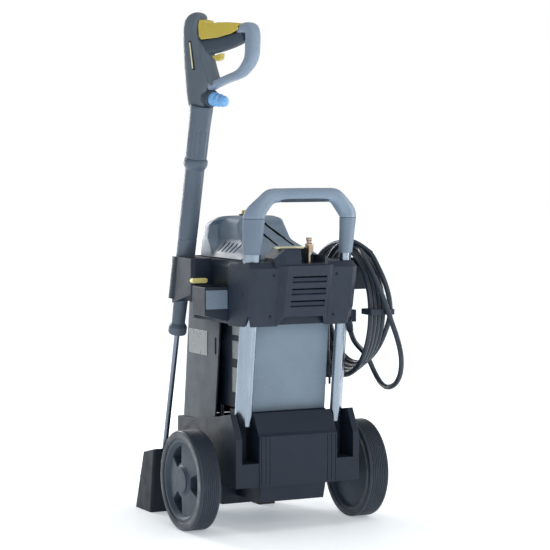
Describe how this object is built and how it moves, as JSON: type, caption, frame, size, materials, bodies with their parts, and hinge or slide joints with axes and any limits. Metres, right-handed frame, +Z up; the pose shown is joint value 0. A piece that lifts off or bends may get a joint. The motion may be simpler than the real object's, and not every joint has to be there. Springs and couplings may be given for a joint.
{
  "type": "pressure washer",
  "caption": "Upright cold-water pressure washer on two wheels with telescopic push handle, stowed spray lance and gun, and coiled mains cable.",
  "frame": {"origin": "on the floor, in the middle of the machine's length and width, the free mains cable not counted", "axes": "+Z up; +Y towards the rear, where the wheels and the push handle are; +X towards the side that carries the lance"},
  "size_m": [0.4309, 0.5023, 1.0302],
  "materials": {
    "black_plastic": "fine moulded texture, satin",
    "grey_plastic": "fine moulded texture, satin",
    "light_plastic": "satin",
    "wheel_plastic": "satin",
    "tyre_rubber": "matt",
    "foot_rubber": "matt",
    "steel": "bright zinc plated",
    "aluminium": "satin anodised",
    "brass": "machined",
    "copper_iron": "varnished laminations",
    "cast_alu": "as cast",
    "yellow_plastic": "satin",
    "blue_plastic": "glossy",
    "cable_rubber": "satin",
    "inlay": "gloss"
  },
  "bodies": {
    "machine": {"base_chassis": "black_plastic", "wheel_axle": "steel", "front_feet": "foot_rubber", "lance_boot": "black_plastic", "water_inlet": "brass", "inlet_coupling": "light_plastic", "rear_panel": "grey_plastic", "motor_housing": "black_plastic", "motor_stator": "copper_iron", "pump_pistons": "steel", "pump_block": "cast_alu", "valve_caps": "brass", "high_pressure_pipe": "steel", "run_capacitor": "light_plastic", "switch_box": "black_plastic", "front_cover": "grey_plastic", "hood": "grey_plastic", "switch_bezel": "black_plastic", "head_frame": "black_plastic", "rear_cover": "black_plastic", "cover_screws": "steel", "outlet_fitting": "brass", "accessory_pocket": "black_plastic", "pocket_plate": "light_plastic", "lance_bracket": "black_plastic", "cable_hook": "black_plastic", "cable_gland": "black_plastic", "cable_coil": "cable_rubber", "cable_lead": "cable_rubber", "cable_tail": "cable_rubber", "cable_tie": "cable_rubber", "mains_plug": "black_plastic", "blank_labels": "light_plastic"},
    "motor_shaft": {"motor_rotor": "steel", "cooling_fan": "black_plastic", "swash_plate": "steel"},
    "push_handle_frame": {"push_handle": "grey_plastic", "handle_insert": "black_plastic", "handle_tube_left": "aluminium", "handle_tube_right": "aluminium", "tube_end_plugs": "black_plastic"},
    "left_wheel": {"wheel_tyre_left": "tyre_rubber", "wheel_rim_left": "wheel_plastic", "hub_cap_left": "wheel_plastic"},
    "right_wheel": {"wheel_tyre_right": "tyre_rubber", "wheel_rim_right": "wheel_plastic", "hub_cap_right": "wheel_plastic"},
    "spray_lance": {"lance_nozzle": "steel", "lance_tube": "steel", "lance_sleeve": "grey_plastic", "gun_body": "grey_plastic", "gun_loop": "grey_plastic", "gun_cap": "blue_plastic", "gun_inlay": "inlay"},
    "lance_nut": {"union_nut": "grey_plastic"},
    "gun_trigger": {"trigger": "yellow_plastic"},
    "gun_catch": {"safety_catch": "yellow_plastic"},
    "power_switch": {"switch_knob": "yellow_plastic"},
    "bracket_button": {"clip_button": "yellow_plastic"}
  },
  "joints": [
    {"name": "motor_spin", "type": "hinge", "parent": "machine", "child": "motor_shaft", "pos_m": [0, 0.071, 0.236], "axis": [0, 0.1231, 0.9924], "continuous": true},
    {"name": "handle_slide", "type": "slide", "parent": "machine", "child": "push_handle_frame", "axis": [0, 0.1231, 0.9924], "range_m": [0, 0.18]},
    {"name": "wheel_left_spin", "type": "hinge", "parent": "machine", "child": "left_wheel", "pos_m": [0.188, 0.09, 0.1], "axis": [1, 0, 0], "continuous": true},
    {"name": "wheel_right_spin", "type": "hinge", "parent": "machine", "child": "right_wheel", "pos_m": [-0.188, 0.09, 0.1], "axis": [1, 0, 0], "continuous": true},
    {"name": "lance_lift", "type": "slide", "parent": "machine", "child": "spray_lance", "axis": [-0.0101, 0.2352, 0.9719], "range_m": [0, 0.28]},
    {"name": "nut_turn", "type": "hinge", "parent": "spray_lance", "child": "lance_nut", "pos_m": [0.1384, 0.02479, 0.78552], "axis": [-0.0101, 0.2352, 0.9719], "continuous": true},
    {"name": "trigger_press", "type": "hinge", "parent": "spray_lance", "child": "gun_trigger", "pos_m": [0.10101, 0.15217, 0.99523], "axis": [0.9511, 0.309, 0], "range_deg": [0, 3], "stiffness_Nm_per_rad": 3, "springref_deg": -2.86},
    {"name": "catch_flip", "type": "hinge", "parent": "spray_lance", "child": "gun_catch", "pos_m": [0.12604, 0.07513, 0.94223], "axis": [-0.9511, -0.309, 0], "range_deg": [0, 20]},
    {"name": "switch_turn", "type": "hinge", "parent": "machine", "child": "power_switch", "pos_m": [0, -0.034, 0.615], "axis": [0, 0, 1], "range_deg": [0, 90]},
    {"name": "button_press", "type": "slide", "parent": "machine", "child": "bracket_button", "axis": [0, -1, 0], "range_m": [0, 0.004], "stiffness_N_per_m": 300, "springref_m": -0.001}
  ]
}
